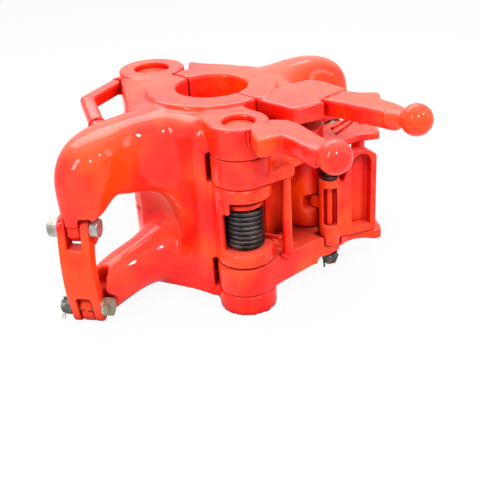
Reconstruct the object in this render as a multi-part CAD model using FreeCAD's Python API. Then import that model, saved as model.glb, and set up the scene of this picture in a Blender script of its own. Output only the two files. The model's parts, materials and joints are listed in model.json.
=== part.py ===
"""Centre-latch drill pipe elevator, square shoulder bore, hung on two links.

Millimetres, +Z up. The origin lies on the bore axis, on the plane that the elevator
stands on. X runs through the two link ears, and the latch is at the front, on -Y.
"""
import FreeCAD, Part
import math
import os

from FreeCAD import Vector

# Bore and shoulder
total_height = 373.0
bore_radius = 68.25
shoulder_ring_radius = 125.0
bore_chamfer = 4.0
front_split_gap = 0.4
rear_split_gap = 4.0

# Body castings
core_top_drop = 9.0
core_bottom = 18.0
core_top_round = 40.0
core_front = 134.0
core_rear = 172.0
core_half_width = 182.0
recess_depth = 37.0
foot_ring_radius = 112.0
edge_round = 4.0

# Rear hinge
hinge_y = 186.7
hinge_pin_radius = 29.0
hinge_boss_radius = 67.0
hinge_top_lug = 78.0
hinge_bottom_lug = 72.0
hinge_side_gap = 1.0
hinge_boss_clearance = 3.0
hinge_mouth_radius = 35.0
hinge_mouth_depth = 28.0
hinge_head_height = 17.0
pin_foot_recess = 24.0
pin_thread_radius = 16.0

# Latch hinge at the front of the left half
latch_x = -88.0
latch_y = -169.5
latch_pin_radius = 22.0
latch_lug_radius = 54.0
latch_lug_top_drop = 6.0
top_lug_height = 57.0
upper_knuckle_height = 54.0
upper_middle_lug_height = 27.0
lower_knuckle_height = 55.8
lower_middle_lug_height = 25.0
lower_knuckle_drop = 5.0
bottom_lug_height = 39.0
knuckle_gap = 0.6
knuckle_pocket_clearance = 7.0
latch_mouth_radius = 28.0
latch_mouth_depth = 24.0
latch_head_height = 14.0
latch_foot_recess = 18.0

# Running fits of the pins
pin_fit = 0.05
bush_wall = 6.0
hinge_bush_length = 60.0
head_clearance = 0.4

# Latch arms and tail
arm_front_y = -219.0
ledge_height = 21.0
tail_plate = 13.0
tail_top_drop = 90.0
tail_lift = 33.4
flange_drop = 7.0
rod_radius = 9.0
rod_x = -29.0
rod_y = -221.0

# Keeper nose on the right half, held between the latch arms
keeper_x = 92.0
keeper_y = -158.0
keeper_radius = 31.0
keeper_gap = 3.0
seat_gap = 0.4
seat_wall = 20.0
seat_start = -64
seat_end = -32
keeper_notch_height = 30.0
keeper_notch_lift = 65.0

# Latch lock, a sprung lever on its own upright bolt
lock_x = 88.0
lock_y = -220.0
lock_barrel_radius = 20.0
lock_pin_radius = 8.0
lock_turn = -23.7
lock_top_drop = 59.0
lock_plate = 24.0
lock_plate_length = 94.0
lock_plate_drop = 11.0
lock_side_gap = 1.0
barrel_window_low = 43.0
barrel_window_drop = 15.0
barrel_window_width = 26.0
barrel_window_side = 228.6
frame_window_start = 42.0
frame_window_width = 40.0
frame_window_depth = 18.0
lock_head_height = 7.0
lock_head_flats = 22.0
lock_head_sink = 5.0
lock_lug_height = 20.0
nose_reach = 47.0

# Springs
latch_spring_wire = 9.0
latch_spring_radius = 32.0
latch_spring_pitch = 9.4
spring_seat_plate = 7.0
spring_seat_room = 18.0
lock_spring_wire = 5.0
lock_spring_radius = 14.5
lock_spring_pitch = 7.0
spring_seat_radius = 36.5
spring_seat_hub = 27.0
spring_air = 0.4

# Handles
handle_drop = 3.0
handle_thickness = 33.0
ball_radius = 28.0
ball_x = 103.0
ball_y = -402.0
right_handle_root = -213.0
rear_bar_width = 28.0

# Link ears, link blocks and their bolts
ear_x = 337.0
ear_turn = 38.0
tongue_width = 26.0
block_width = 58.0
block_thickness = 28.0
fork_gap = 0.8
upper_bolt_drop = 174.0
lower_bolt_z = 34.0
bolt_radius = 11.5
bolt_clearance = 0.5
hex_across_flats = 33.0
hex_head_height = 15.0
nut_height = 19.0
nut_crown = 7.0
bolt_tail = 4.0
washer_radius = 17.0
washer_height = 3.5
cotter_radius = 2.0
lock_nut_flats = 30.0
lock_nut_height = 18.0
stop_screw_radius = 4.0
stop_screw_flats = 13.0
stop_screw_x = 207.0
stop_screw_y = -199.0

top = total_height
core_top = top - core_top_drop
upper_bolt_z = top - upper_bolt_drop
reach = 430.0
Z = Vector(0, 0, 1)

# Heights of the latch hinge stack, from the floor up
z_bottom_lug = bottom_lug_height
z_lower_knuckle = z_bottom_lug + knuckle_gap
z_top_lug_top = top - latch_lug_top_drop
z_top_lug = z_top_lug_top - top_lug_height
z_upper_knuckle_top = z_top_lug - knuckle_gap
z_upper_knuckle = z_top_lug - upper_knuckle_height
z_upper_middle_top = z_upper_knuckle - knuckle_gap
z_spring_top = z_upper_middle_top - upper_middle_lug_height
z_lower_knuckle_top = z_lower_knuckle + lower_knuckle_height
z_lower_middle = z_lower_knuckle_top + lower_knuckle_drop
z_spring_bottom = z_lower_middle + lower_middle_lug_height
z_hinge_low = hinge_bottom_lug
z_hinge_high = top - hinge_top_lug
tail_top = top - tail_top_drop
tail_ceiling = tail_top - tail_plate
tail_bottom = z_lower_knuckle + tail_lift
lock_top = tail_ceiling - lock_top_drop
keeper_notch_z = tail_bottom + keeper_notch_lift
latch_spring_turns = int((z_spring_top - z_spring_bottom - spring_seat_room - latch_spring_wire)
                         / latch_spring_pitch)
latch_spring_height = latch_spring_pitch * latch_spring_turns + latch_spring_wire


def cylinder(radius, x, y, low, high):
    return Part.makeCylinder(radius, high - low, Vector(x, y, low))


def block(x0, x1, y0, y1, z0, z1):
    return Part.makeBox(x1 - x0, y1 - y0, z1 - z0, Vector(x0, y0, z0))


def prism(points, low, high):
    """Upright solid with straight sides over a plan outline."""
    corners = [Vector(x, y, low) for x, y in points]
    face = Part.Face(Part.makePolygon(corners + corners[:1]))
    return face.extrude(Vector(0, 0, high - low))


def smooth_outline(points, height, inset=0.0):
    """Closed smooth plan curve, drawn in evenly towards the bore axis by an inset."""
    curve = Part.BSplineCurve()
    drawn = []
    for x, y in points:
        shrink = 1 - inset / math.hypot(x, y)
        drawn.append(Vector(x * shrink, y * shrink, height))
    curve.interpolate(drawn, PeriodicFlag=True)
    return Part.Wire([curve.toShape()])


def smooth_prism(points, low, high, top_round):
    """Upright solid over a smooth plan curve, with a rounded top edge."""
    shoulder = high - top_round
    wall = Part.Face(smooth_outline(points, low)).extrude(Vector(0, 0, shoulder - low))
    levels = []
    for degrees in (0, 15, 30, 45, 60, 74, 85):
        angle = math.radians(degrees)
        levels.append(smooth_outline(points, shoulder + top_round * math.sin(angle),
                                     top_round * (1 - math.cos(angle))))
    return wall.fuse(loft(levels))


def fuse(shapes):
    whole = shapes[0].fuse(shapes[1:]) if len(shapes) > 1 else shapes[0]
    return whole.removeSplitter()


def mirrored(shape):
    return shape.mirror(Vector(0, 0, 0), Vector(1, 0, 0))


def level_edges(shape, height):
    """Edges that lie wholly at one height."""
    return [edge for edge in shape.Edges
            if abs(edge.BoundBox.ZMin - height) < 0.01 and abs(edge.BoundBox.ZMax - height) < 0.01]


def upright_edges(shape, low, high):
    return [edge for edge in shape.Edges
            if abs(edge.BoundBox.ZMin - low) < 0.01 and abs(edge.BoundBox.ZMax - high) < 0.01
            and edge.BoundBox.XLength < 0.01 and edge.BoundBox.YLength < 0.01]


def rounded_prism(points, low, high, corner, rim):
    """Plate with rounded plan corners and softened rims, as a casting or flame-cut plate has."""
    shape = prism(points, low, high)
    shape = shape.makeFillet(corner, upright_edges(shape, low, high))
    return shape.makeFillet(rim, level_edges(shape, low) + level_edges(shape, high))


def horn_section(centre, turn, dip, half_across, half_deep, squareness=2.7):
    """Rounded-square wire across a horn that heads outward on -X, turned and dipped in degrees."""
    turn, dip = math.radians(turn), math.radians(dip)
    heading = Vector(-math.cos(turn), -math.sin(turn), 0)
    across = Vector(math.sin(turn), -math.cos(turn), 0)
    outer = heading * math.sin(dip) + Z * math.cos(dip)
    points = []
    for step in range(16):
        angle = 2 * math.pi * (step + 0.5) / 16
        c, s = math.cos(angle), math.sin(angle)
        a = math.copysign(abs(c) ** (2 / squareness), c) * half_across
        b = math.copysign(abs(s) ** (2 / squareness), s) * half_deep
        points.append(Vector(*centre) + across * a + outer * b)
    curve = Part.BSplineCurve()
    curve.interpolate(points, PeriodicFlag=True)
    return Part.Wire([curve.toShape()])


def loft(wires):
    return Part.makeLoft(wires, True, False)


def ear_vector(along, out, height):
    """Point of the left ear: along the bolt, outward from the ear, and up."""
    turn = math.radians(ear_turn)
    return Vector(-ear_x + along * math.sin(turn) - out * math.cos(turn),
                  -along * math.cos(turn) - out * math.sin(turn), height)


def ear_prism(outline, half_width, middle=0.0):
    """Solid with a side outline in (outward, height), square to the link bolts."""
    corners = [ear_vector(middle - half_width, out, height) for out, height in outline]
    face = Part.Face(Part.makePolygon(corners + corners[:1]))
    return face.extrude(ear_vector(half_width * 2, 0, 0) - ear_vector(0, 0, 0))


def ear_cylinder(radius, start, end, height):
    low, high = ear_vector(start, 0, height), ear_vector(end, 0, height)
    return Part.makeCylinder(radius, end - start, low, high - low)


def hexagon(across_flats, low, high):
    """Upright hexagonal prism on the origin."""
    radius = across_flats / math.sqrt(3)
    points = [(radius * math.cos(math.radians(60 * side + 15)),
               radius * math.sin(math.radians(60 * side + 15))) for side in range(6)]
    return prism(points, low, high)


def chamfered_hexagon(across_flats, height):
    """Hexagon with the turned corners that bolt heads and nuts have."""
    turned = Part.makeCylinder(across_flats / math.sqrt(3), height)
    turned = turned.makeChamfer(2.2, level_edges(turned, 0) + level_edges(turned, height))
    return hexagon(across_flats, 0, height).common(turned)


def hex_bolt(radius, across_flats, head, length, hole_at=None):
    """Bolt along +Z: the head lies below the origin, the shank above it."""
    shank = Part.makeCylinder(radius, length)
    shank = shank.makeChamfer(1.5, level_edges(shank, length))
    top_head = chamfered_hexagon(across_flats, head)
    top_head.translate(Vector(0, 0, -head))
    bolt = shank.fuse(top_head).removeSplitter()
    if hole_at is None:
        return bolt
    return bolt.cut(cross_pin(cotter_radius + pin_fit, 60, hole_at))


def cross_pin(radius, length, height):
    start = Vector(-length / 2, 0, height)
    return Part.makeCylinder(radius, length, start, Vector(1, 0, 0))


def hex_nut(radius, across_flats, height):
    return chamfered_hexagon(across_flats, height).cut(Part.makeCylinder(radius + pin_fit, height))


def castle_nut(radius, across_flats, height):
    """Slotted nut along +Z, its crown at the top, with one slot across X."""
    body = chamfered_hexagon(across_flats, height - nut_crown)
    crown = Part.makeCylinder(across_flats * 0.46, nut_crown, Vector(0, 0, height - nut_crown))
    nut = body.fuse(crown).removeSplitter()
    for side in range(3):
        slot = Part.makeBox(across_flats * 2, cotter_radius * 2.6, nut_crown + 1,
                            Vector(-across_flats, -cotter_radius * 1.3, height - nut_crown + 1))
        slot.rotate(Vector(0, 0, 0), Z, 60 * side)
        nut = nut.cut(slot)
    return nut.cut(Part.makeCylinder(radius + pin_fit, height))


def cotter(across_flats, height):
    """Split pin across X through a slotted nut, with its eye and one bent leg."""
    half = across_flats * 0.5
    pin = cross_pin(cotter_radius, across_flats + 6, height)
    eye = Part.makeTorus(cotter_radius * 1.6, cotter_radius * 0.8,
                         Vector(-half - 3 - cotter_radius * 1.6, 0, height), Vector(0, 1, 0))
    leg = Part.makeCylinder(cotter_radius, 10, Vector(half + 3 - cotter_radius, 0, height), Z)
    return fuse([pin, eye, leg])


def place(shape, base, direction):
    """Turns a piece made along +Z so that it points in a direction from a base point."""
    turn = FreeCAD.Rotation(Z, direction)
    placed = shape.copy()
    placed.Placement = FreeCAD.Placement(base, turn).multiply(placed.Placement)
    return placed


def coil(radius, wire, pitch, turns, x, y, low):
    """Helical spring wound from round wire, with its lowest point at one height."""
    start = low + wire / 2
    helix = Part.makeHelix(pitch, pitch * turns, radius)
    helix.translate(Vector(x, y, start))
    profile = Part.Wire([Part.makeCircle(wire / 2, Vector(x + radius, y, start), Vector(0, 1, 0))])
    return Part.Wire(helix.Edges).makePipeShell([profile], True, True)


# Half casting, drawn for the left side; the right half mirrors it
def core_half():
    outline = [(0, -core_front), (-60, -core_front), (-112, -core_front - 3), (-138, -130),
               (-150, -100), (-160, -68), (-174, -34), (-core_half_width, 6), (-162, 52),
               (-128, 94), (-98, 132), (-70, 160), (0, core_rear)]
    outline += [(-x, y) for x, y in reversed(outline[1:-1])]
    core = smooth_prism(outline, core_bottom, core_top, core_top_round)
    return core.common(block(-reach, 0, -reach, reach, -1, top + 1)).cut(horn_recess())


def horn_recess():
    """Dish hollowed in the side of the casting between its two horns."""
    low, high = lower_bolt_z + 36, top - 143
    length, width = 78.0, 100.0
    ball = Part.makeSphere(1.0)
    stretch = FreeCAD.Matrix()
    stretch.scale(length, width, (high - low) * 0.6)
    dish = ball.transformGeometry(stretch)
    dish.translate(Vector(recess_depth - core_half_width + 8 - length, -12, (low + high) / 2))
    return dish


def upper_horn():
    end_z = upper_bolt_z + 10
    end_x = 7 - ear_x
    stations = [((-88, 12, top - 90), 0, 0, 98, 82), ((-150, 4, top - 88), 0, 0, 80, 80),
                ((-205, 8, top - 80), 0, 3, 58, 71), ((-252, 5, top - 76), 6, 8, 56, 67),
                ((-300, -7, top - 86), 24, 36, 52, 63), ((-320, -10, top - 130), 34, 66, 43, 42),
                ((end_x, 0, end_z), ear_turn, 90, block_width / 2, 30)]
    return loft([horn_section(*station) for station in stations])


def lower_horn():
    stations = [((-100, -8, 80), 0, 0, 98, 68, 2.3), ((-158, 2, 74), 0, 4, 64, 56, 2.4),
                ((-208, 8, 68), 0, 9, 45, 46, 2.5), ((-256, 7, 61), 6, 13, 40, 44),
                ((-294, 2, 51), 22, 15, 35, 42),
                ((-ear_x + 16, -5, 43), ear_turn, 12, block_width / 2, 38)]
    return loft([horn_section(*station) for station in stations])


def upper_tongue():
    low, high = upper_bolt_z - 24, upper_bolt_z + 34
    outline = [(-17, high), (-17, low + 12), (-9, low), (9, low), (17, low + 12), (17, high)]
    return ear_prism(outline, tongue_width / 2)


def lower_tongue():
    low = lower_bolt_z
    outline = [(-34, low - 26), (-20, low - 32), (0, low - 33), (10, low - 20), (16, low + 6),
               (12, low + 22), (-34, low + 22)]
    return ear_prism(outline, tongue_width / 2)


def block_seat_clearance():
    """Room that the fork prongs of the link block take out of the horn ends."""
    side = block_width / 2 + 6
    low = lower_bolt_z
    upper = [(-40, upper_bolt_z + 22), (-40, low + 26), (60, low + 26), (60, upper_bolt_z + 22),
             (22, upper_bolt_z + 27), (-10, upper_bolt_z + 27)]
    lower = [(-21, low + 32), (-21, low - 39), (60, low - 39), (60, low + 66), (-8, low + 66)]
    start = tongue_width / 2
    shapes = [ear_prism([(-16, low + 27), (60, low + 27), (60, low + 66), (-6, low + 66)], start + 1)]
    for sign in (-1, 1):
        middle = sign * (start + side) / 2
        half = (side - start) / 2
        shapes.append(ear_prism(upper, half, middle))
        shapes.append(ear_prism(lower, half, middle))
    return shapes


def half_casting():
    horns = fuse([core_half(), upper_horn(), lower_horn()])
    for room in block_seat_clearance():
        horns = horns.cut(room)
    shape = fuse([horns, upper_tongue(), lower_tongue()])
    for height in (upper_bolt_z, lower_bolt_z):
        shape = shape.cut(ear_cylinder(bolt_radius + bolt_clearance, -block_width, block_width,
                                       height))
        spot_radius = hex_across_flats / math.sqrt(3) + 2.5
        spot_end = block_width / 2 + 33
        for start, end in ((block_width / 2, spot_end), (-spot_end, -block_width / 2)):
            shape = shape.cut(ear_cylinder(spot_radius, start, end, height))
    ring = cylinder(shoulder_ring_radius, 0, 0, core_top - 30, top)
    foot = cylinder(foot_ring_radius, 0, 0, 0, core_bottom + 20)
    left_space = block(-reach, 0, -reach, reach, -1, top + 1)
    for round_part in (ring, foot):
        shape = shape.fuse(round_part.common(left_space))
    return shape.removeSplitter()


def bore_cut(shape):
    """Cuts the pipe bore, with the lead-in at its shoulder."""
    bore = cylinder(bore_radius, 0, 0, -1, top + 1)
    lead = Part.makeCone(bore_radius, bore_radius + bore_chamfer, bore_chamfer,
                         Vector(0, 0, top - bore_chamfer))
    return shape.cut(bore).cut(lead)


def latch_lug(low, high, web_lift=0.0):
    """Lug of the latch hinge, with the web that carries it from the casting."""
    edge = latch_lug_radius
    outline = [(latch_x - edge * 0.86, latch_y + edge * 0.5), (-120, -90), (-30, -90),
               (latch_x + edge, latch_y)]
    web = prism(outline, low + web_lift, high)
    lug = cylinder(edge, latch_x, latch_y, low, high)
    return web.fuse(lug)


def saddle():
    """Top of the left half between hinge, shoulder ring and horn, sloping down outward."""
    outline = [(-60, hinge_y + 30), (-98, 160), (-128, 110), (-160, 66), (-186, 30), (-186, 0),
               (-60, 0), (0, 100), (0, hinge_y + 30)]
    high = top - 4
    slab = rounded_prism(outline, z_hinge_high, high, 12, edge_round)
    ridge_start, ridge_end = Vector(-50, 205, high), Vector(-95, 60, high)
    along = (ridge_end - ridge_start).normalize()
    outward = along.cross(Z)
    if outward.x > 0:
        outward = -outward
    corners = [ridge_start, ridge_start + outward * reach,
               ridge_start + outward * reach - Z * reach * 0.26]
    corners = [corner - along * reach for corner in corners]
    wedge = Part.Face(Part.makePolygon(corners + corners[:1])).extrude(along * reach * 2)
    return slab.cut(wedge)


def parting_space(side, end):
    """Everything beyond one half's parting faces, which stand further apart behind the bore."""
    front, rear = front_split_gap / 2, rear_split_gap / 2
    outline = [(-side * front, -reach), (-side * front, 0), (-side * rear, 0),
               (-side * rear, end), (side * reach, end), (side * reach, -reach)]
    return prism(outline, -1, top + 1)


def left_body():
    shape = half_casting()
    web = [(-60, hinge_y + 30), (-110, 138), (-150, 78), (-60, 60), (0, 100), (0, hinge_y + 30)]
    lugs = []
    for low, high in ((0, z_hinge_low), (z_hinge_high, top)):
        boss = cylinder(hinge_boss_radius, 0, hinge_y, low, high)
        lugs.append(boss.makeFillet(edge_round, level_edges(boss, high) + level_edges(boss, low)))
    lugs.append(saddle())
    lugs.append(prism(web, core_bottom - 10, z_hinge_low))
    lugs.append(latch_lug(z_top_lug, z_top_lug_top))
    lugs.append(latch_lug(z_lower_middle, z_upper_middle_top))
    lugs.append(latch_lug(0, z_bottom_lug, core_bottom - 4))
    shape = shape.fuse(lugs)
    pocket = latch_lug_radius + knuckle_pocket_clearance
    for low, high in ((z_upper_middle_top, z_top_lug), (z_bottom_lug, z_lower_middle)):
        shape = shape.cut(cylinder(pocket, latch_x, latch_y, low, high))
        shape = shape.cut(block(latch_x, 40, -reach, -core_front - 4, low, high))
        shape = shape.cut(block(latch_x - pocket, latch_x, -reach, -core_front + 4, low, high))
    recess = latch_spring_radius + latch_spring_wire / 2 + 4.5
    shape = shape.cut(cylinder(recess, latch_x, latch_y, z_spring_bottom, z_spring_top))
    shape = shape.cut(block(-160, 40, -reach, latch_y + 5, z_spring_bottom, z_spring_top))
    shape = shape.cut(block(latch_x, 40, -reach, -core_front, z_spring_bottom, z_spring_top))
    anchor = prism([(-139, -182), (-139, -160), (-129, -160), (-129, -182)],
                   z_spring_top - 26, z_spring_top + 1)
    shape = shape.fuse(anchor)
    clear = hinge_boss_radius + hinge_boss_clearance
    shape = shape.cut(cylinder(clear, 0, hinge_y, z_hinge_low, z_hinge_high))
    shape = bore_cut(shape)
    shape = shape.cut(parting_space(1, hinge_y - hinge_boss_radius + 2))
    shape = shape.cut(cylinder(hinge_pin_radius + pin_fit, 0, hinge_y, -1, top + 1))
    shape = shape.cut(cylinder(latch_pin_radius + pin_fit, latch_x, latch_y, -1, top + 1))
    shape = shape.cut(cylinder(hinge_mouth_radius, 0, hinge_y, top - hinge_mouth_depth, top + 1))
    shape = shape.cut(cylinder(latch_mouth_radius, latch_x, latch_y,
                               z_top_lug_top - latch_mouth_depth, top + 1))
    shape = shape.cut(cylinder(hinge_mouth_radius, 0, hinge_y, -1, pin_foot_recess))
    shape = shape.cut(cylinder(latch_mouth_radius, latch_x, latch_y, -1, latch_foot_recess))
    return shape.removeSplitter()


def right_body():
    shape = mirrored(half_casting())
    shape = shape.cut(block(-1, reach, -reach, -core_front - 3, -1, top - handle_drop - 8))
    wing = [(58, 139), (91, 177), (98, 149), (125, 94), (160, 40), (60, 40)]
    web = [(60, hinge_y + 20), (90, 178), (100, 146), (150, 78), (60, 60), (0, 100),
           (0, hinge_y + 20)]
    knuckle_low = z_hinge_low + hinge_side_gap
    knuckle_high = z_hinge_high - hinge_side_gap
    knuckle = cylinder(hinge_boss_radius, 0, hinge_y, knuckle_low, knuckle_high)
    shape = shape.fuse([prism(web, core_bottom - 10, top - 30), rounded_prism(wing, top - 80, top - 6, 4, 3),
                        knuckle, top_flange(), keeper_nose()])
    clear = hinge_boss_radius + hinge_boss_clearance
    for low, high in ((-1, knuckle_low), (knuckle_high, top + 1)):
        shape = shape.cut(cylinder(clear, 0, hinge_y, low, high))
    shape = bore_cut(shape)
    shape = shape.cut(parting_space(-1, hinge_y - hinge_boss_radius + 2))
    shape = shape.cut(block(-reach, 0, -reach, reach, -1, knuckle_low))
    shape = shape.cut(block(-reach, 0, -reach, reach, knuckle_high, top + 1))
    shape = shape.cut(cylinder(hinge_pin_radius + pin_fit + bush_wall, 0, hinge_y, -1, top + 1))
    return shape.removeSplitter()


def top_flange():
    """Overhanging lip of the right half that carries its handle above the latch."""
    outline = [(2, -110), (5, -213), (66, -232), (73, right_handle_root), (148, right_handle_root),
               (158, -110)]
    return rounded_prism(outline, top - handle_drop - handle_thickness, top - handle_drop,
                         5, edge_round)


def keeper_nose():
    """Upright nose that the closed latch grips, notched for the latch lock."""
    low, high = z_lower_knuckle_top + keeper_gap, z_upper_knuckle - keeper_gap
    neck = [(keeper_x - 46, -120), (keeper_x - keeper_radius, keeper_y),
            (keeper_x + keeper_radius, keeper_y), (keeper_x + 46, -120)]
    nose = cylinder(keeper_radius, keeper_x, keeper_y, low, high).fuse(prism(neck, low, high))
    nose = nose.removeSplitter()
    notch = block(keeper_x - 36, keeper_x + 36, keeper_y - 40, keeper_y - 12,
                  keeper_notch_z, keeper_notch_z + keeper_notch_height)
    return nose.cut(notch)


def handle_arm(outline, x):
    """Cast handle arm with its ball grip."""
    low = top - handle_drop - handle_thickness
    arm = rounded_prism(outline, low, low + handle_thickness, 4, 6)
    ball = Part.makeSphere(ball_radius, Vector(x, ball_y, top - handle_drop - 5))
    neck_start = Vector(x * 0.93, -345, top - handle_drop - 13)
    neck_end = Vector(x, ball_y, top - handle_drop - 6)
    neck = Part.makeCone(14.5, 12.5, (neck_end - neck_start).Length, neck_start,
                         neck_end - neck_start)
    return fuse([arm, neck, ball])


def left_handle():
    outline = [(-60, -205), (-36, -240), (-38, -268), (-55, -325), (-68, -370), (-114, -370),
               (-101, -312), (-99, -285), (-141, -271), (-118, -232), (-100, -205)]
    arm = handle_arm(outline, -ball_x)
    lug = cylinder(latch_lug_radius + 0.01, latch_x, latch_y, z_top_lug, top + 1)
    return arm.cut(lug)


def right_handle():
    root = right_handle_root
    outline = [(74, root), (81, -264), (87, -310), (92, -368), (130, -368), (141, -330),
               (143, -298), (170, -270), (147, -242), (138, root)]
    return handle_arm(outline, ball_x)


def rear_handle(casting):
    """Bent round-cornered bar whose ends are fitted to the casting that it is welded to."""
    width = rear_bar_width
    points = [Vector(-44, hinge_y + 34, top - 25), Vector(-174, 166, top - 24),
              Vector(-222, 62, top - 42)]
    path = Part.makePolygon(points)
    direction = points[1] - points[0]
    direction.normalize()
    side = direction.cross(Z)
    up = side.cross(direction)
    half = width / 2
    corners = [points[0] + side * a * half + up * b * half
               for a, b in ((-1, -1), (1, -1), (1, 1), (-1, 1))]
    profile = Part.makePolygon(corners + corners[:1])
    bar = Part.Wire(path.Edges).makePipeShell([profile], True, False, 1)
    bar = bar.makeFillet(width * 0.3, [edge for edge in bar.Edges if edge.Length > width * 1.5])
    fitted = bar.cut(casting)
    return max(fitted.Solids, key=lambda solid: solid.Volume)


def latch():
    """Latch casting: two knuckles, two arms over and under the keeper, and a hooked tail."""
    low_top, high_low = z_lower_knuckle_top, z_upper_knuckle
    hook = keeper_radius + seat_gap
    knuckle_back = latch_y + 46
    upper_web = [(latch_x, latch_y - latch_lug_radius), (-60, -212), (66, -208), (104, -192),
                 (132, -160), (128, -146), (20, -144), (-22, -150), (latch_x, knuckle_back)]
    ledge = [(latch_x, latch_y - latch_lug_radius), (-20, -234), (-14, -230), (-14, -206),
             (66, -206), (66, -190), (latch_x, -190)]
    lower_arm = [(latch_x, latch_y - latch_lug_radius), (-40, arm_front_y), (40, arm_front_y),
                 (76, -232), (104, -232), (118, -200), (132, -160), (128, -146), (20, -144),
                 (-22, -150), (latch_x, knuckle_back)]
    top_plate = [(66, -200), (lock_x - 24, lock_y - 4), (lock_x - 8, lock_y - 20),
                 (118, -236), (150, -240), (170, -254), (184, -262), (196, -252), (226, -214),
                 (224, -168), (150, -150), (100, -150)]
    flange = [(100, -240), (122, -238), (140, -243), (155, -255), (165, -272), (178, -276),
              (191, -264), (226, -208), (222, -168), (150, -150), (100, -150)]
    pieces = [cylinder(latch_lug_radius, latch_x, latch_y, z_lower_knuckle, low_top),
              cylinder(latch_lug_radius, latch_x, latch_y, high_low, z_upper_knuckle_top),
              prism(upper_web, high_low, z_upper_knuckle_top),
              prism(ledge, high_low, high_low + ledge_height),
              prism(lower_arm, z_lower_knuckle, low_top),
              prism(top_plate, tail_ceiling, tail_top),
              prism(flange, tail_bottom - flange_drop, tail_bottom + tail_plate)]
    low_bay = block(lock_x - 22, reach, -reach, -198, tail_bottom, low_top + 1)
    pieces[4] = pieces[4].cut(low_bay)
    post = [(209, -192), (223, -198), (222, -170), (204, -172)]
    pieces.append(prism(post, tail_bottom, tail_top))
    shape = fuse(pieces)
    shape = shape.cut(block(lock_x - 34, reach, -reach, -200, -1, tail_bottom - lock_lug_height))
    seat = []
    for degrees in range(seat_start, seat_end + 1, 8):
        angle = math.radians(degrees)
        seat.append((keeper_x + (hook + seat_wall) * math.cos(angle),
                     keeper_y + (hook + seat_wall) * math.sin(angle)))
    for degrees in (seat_end, seat_start):
        angle = math.radians(degrees)
        seat.append((keeper_x + hook * 0.9 * math.cos(angle),
                     keeper_y + hook * 0.9 * math.sin(angle)))
    wall = prism(seat, low_top - 1, high_low + 1)
    nose_path = nose_reach + lock_side_gap + 1
    wall = wall.cut(cylinder(nose_path, lock_x, lock_y, keeper_notch_z,
                             keeper_notch_z + keeper_notch_height))
    shape = shape.fuse(wall)
    cup = cylinder(hook, keeper_x, keeper_y, low_top, high_low)
    shape = shape.cut(cup)
    room = cylinder(lock_barrel_radius + 2, lock_x, lock_y, tail_bottom, tail_ceiling)
    shape = shape.cut(room)
    shape = shape.cut(cylinder(lock_pin_radius + pin_fit, lock_x, lock_y, 0, top))
    sink = cylinder(lock_head_flats / math.sqrt(3) + 1, lock_x, lock_y, tail_top - lock_head_sink, top)
    shape = shape.cut(sink)
    shape = shape.cut(cylinder(stop_screw_radius + pin_fit, stop_screw_x, stop_screw_y,
                               tail_ceiling - 1, tail_top + 1))
    shape = shape.cut(cylinder(latch_pin_radius + pin_fit + bush_wall, latch_x, latch_y, 0, top))
    return shape.removeSplitter()


def latch_rod():
    """Round bar welded between the latch arms, with its weld beads."""
    low, high = z_lower_knuckle_top, z_upper_knuckle
    bead = Part.makeCone(rod_radius + 6, rod_radius, 6, Vector(rod_x, rod_y + 3, low))
    return fuse([cylinder(rod_radius, rod_x, rod_y, low, high), bead])


def latch_lock():
    """Locking lever: barrel, nose that enters the keeper notch, and framed finger plate."""
    low, high = tail_bottom + lock_side_gap, lock_top
    plate_low = tail_bottom + tail_plate + lock_side_gap
    plate_top = tail_ceiling - lock_plate_drop
    length = lock_plate_length
    barrel = cylinder(lock_barrel_radius, 0, 0, low, high)
    side = [(0, plate_low), (0, high - 12), (24, high - 8), (31, high + 10), (34, plate_top - 12),
            (44, plate_top), (length - 20, plate_top), (length, plate_top - 13), (length, plate_low)]
    corners = [Vector(u, lock_plate / 2, z) for u, z in side]
    plate = Part.Face(Part.makePolygon(corners + corners[:1])).extrude(Vector(0, -lock_plate, 0))
    plate = plate.makeFillet(3.0, [edge for edge in plate.Edges if edge.BoundBox.YLength > 1
                                   and edge.CenterOfMass.x > 22])
    arch_radius = frame_window_width / 2
    window_top = plate_top - 7 - arch_radius
    sill = plate_low + 14
    face = frame_window_depth - lock_plate * 1.5
    window = Part.makeBox(frame_window_width, lock_plate, window_top - sill,
                          Vector(frame_window_start, face, sill))
    arch = Part.makeCylinder(arch_radius, lock_plate,
                             Vector(frame_window_start + arch_radius, face, window_top),
                             Vector(0, 1, 0))
    plate = plate.cut(window.fuse(arch))
    nose = prism([(-6, 12), (-6, nose_reach - 1), (8, nose_reach - 1), (12, 12)], keeper_notch_z + 3,
                 keeper_notch_z + keeper_notch_height - 3)
    nose.rotate(Vector(0, 0, 0), Z, -lock_turn)
    lever = fuse([barrel, plate, nose])
    lever.rotate(Vector(0, 0, 0), Z, lock_turn)
    width = barrel_window_width
    window_low, window_high = tail_bottom + barrel_window_low, high - barrel_window_drop
    opening = Part.makeBox(lock_barrel_radius * 2, width, window_high - window_low,
                           Vector(0, -width / 2, window_low))
    opening.rotate(Vector(0, 0, 0), Z, barrel_window_side)
    lever = lever.cut(opening)
    lever = lever.cut(Part.makeCylinder(lock_pin_radius + pin_fit, top))
    lever.translate(Vector(lock_x, lock_y, 0))
    return lever


def lock_bolt():
    seat = tail_top - lock_head_sink
    length = seat - (tail_bottom - lock_lug_height) + washer_height + lock_nut_height + bolt_tail
    bolt = hex_bolt(lock_pin_radius, lock_head_flats, lock_head_height, length,
                    length - bolt_tail - nut_crown / 2 + 0.5)
    return place(bolt, Vector(lock_x, lock_y, seat), Vector(0, 0, -1))


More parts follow.
